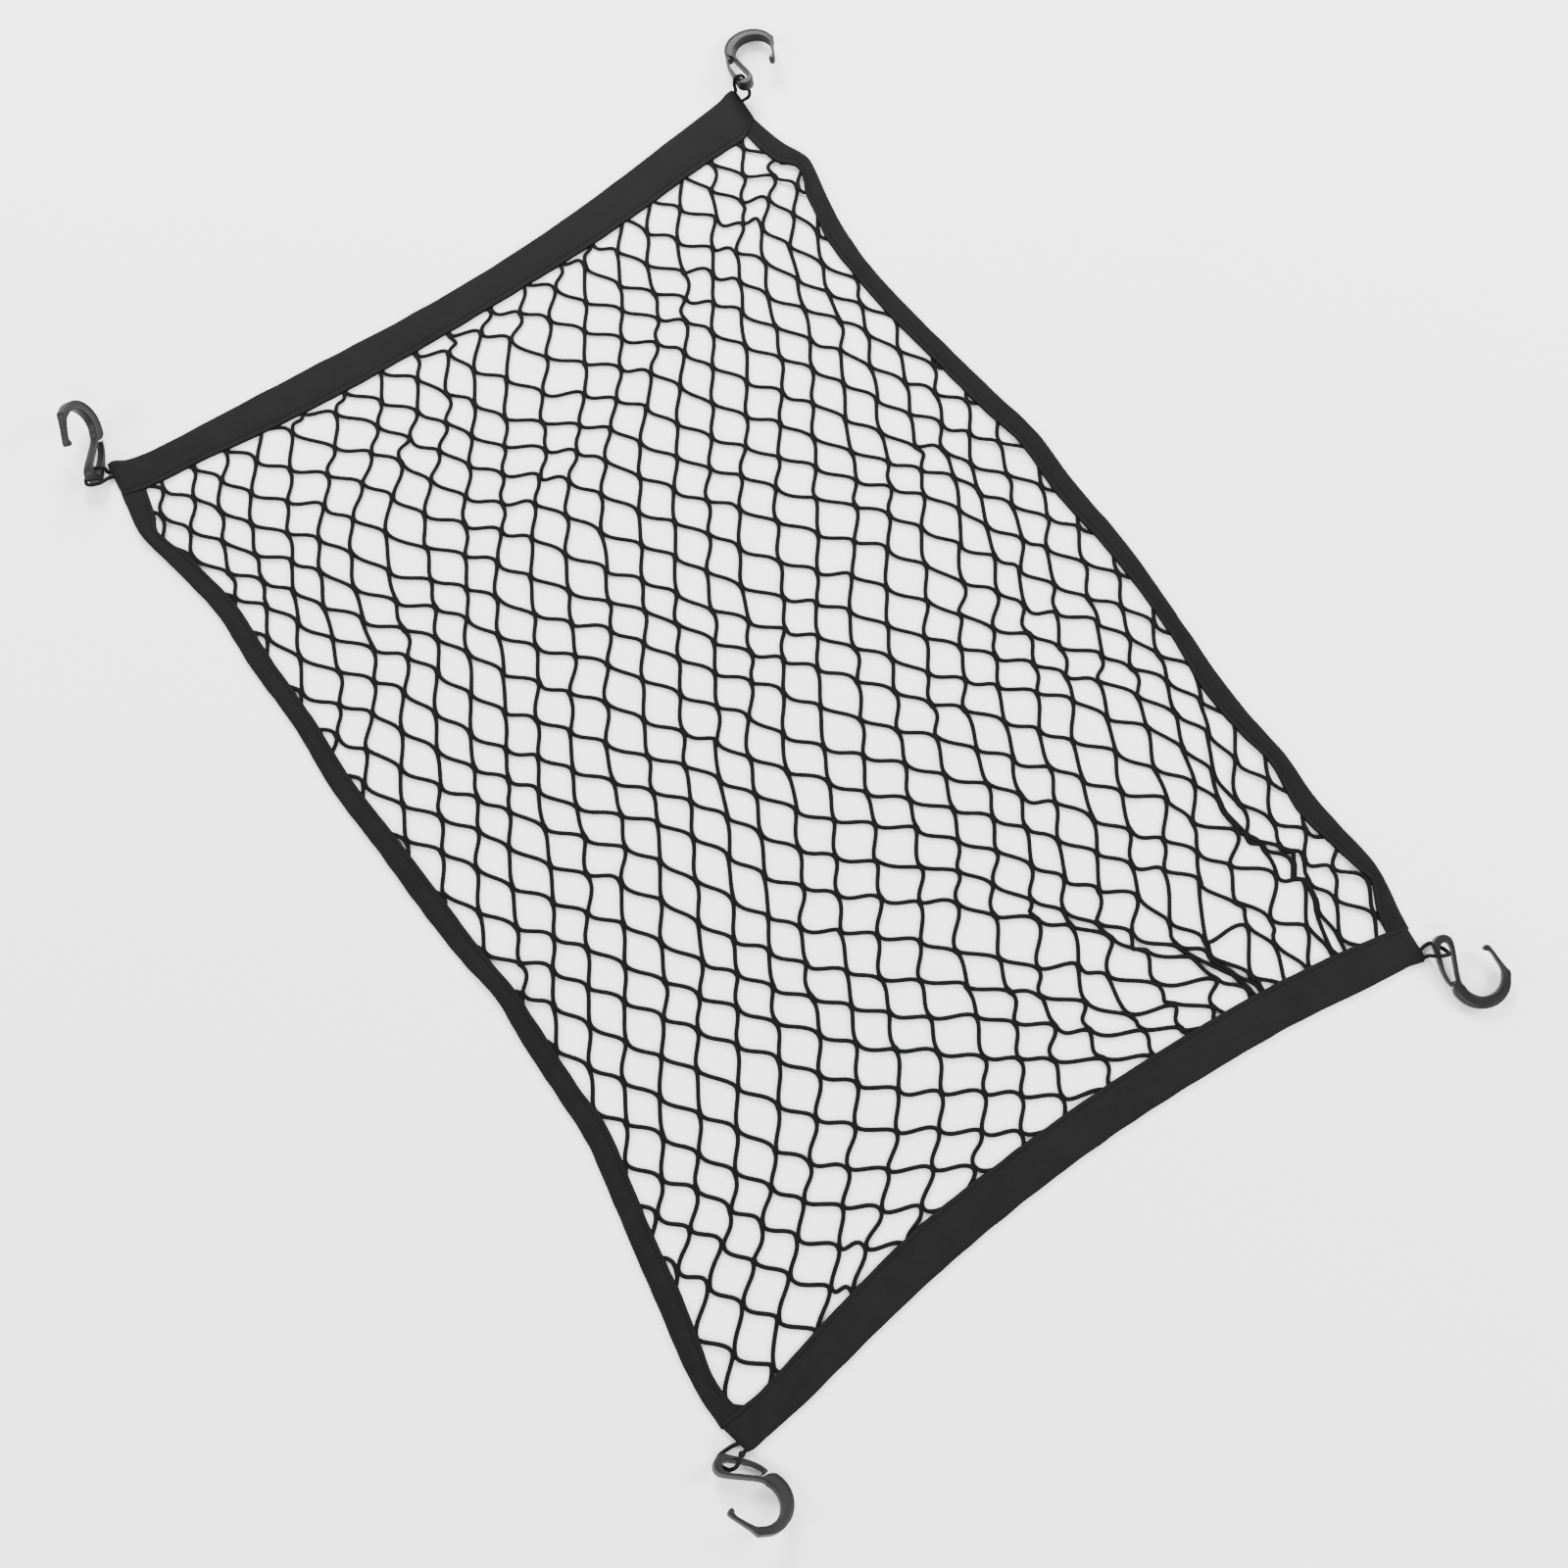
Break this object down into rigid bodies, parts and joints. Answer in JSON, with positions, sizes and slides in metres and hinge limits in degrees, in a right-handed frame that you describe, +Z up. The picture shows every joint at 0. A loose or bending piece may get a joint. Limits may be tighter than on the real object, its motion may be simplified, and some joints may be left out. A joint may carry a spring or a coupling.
{
  "type": "cargo net with hooks",
  "caption": "Elastic cargo net of fused diamond mesh with wide hem bands, narrow edge bindings and a snap hook held by a cord loop at each corner.",
  "frame": {"origin": "bottom centre of the net and its hooks, on the surface that it lies on", "axes": "+X along the long bound edges towards the right hem band, +Y along the short hem bands towards the far binding, +Z up from the surface"},
  "size_m": [1.0184, 0.6962, 0.0448],
  "materials": {
    "net_yarn": "knitted elastic yarn, dull",
    "hem_cloth": "close plain weave, dull",
    "binding_cloth": "close plain weave, dull",
    "loop_cord": "braided elastic cord, dull",
    "hook_plastic": "moulded, satin"
  },
  "bodies": {
    "root": {"net": "net_yarn", "hem_band_left": "hem_cloth", "hem_band_right": "hem_cloth", "edge_binding_far": "binding_cloth", "edge_binding_near": "binding_cloth", "loop_left_far": "loop_cord", "loop_left_near": "loop_cord", "loop_right_near": "loop_cord", "loop_right_far": "loop_cord", "hook_left_far": "hook_plastic", "hook_left_near": "hook_plastic", "hook_right_near": "hook_plastic", "hook_right_far": "hook_plastic"}
  },
  "joints": []
}
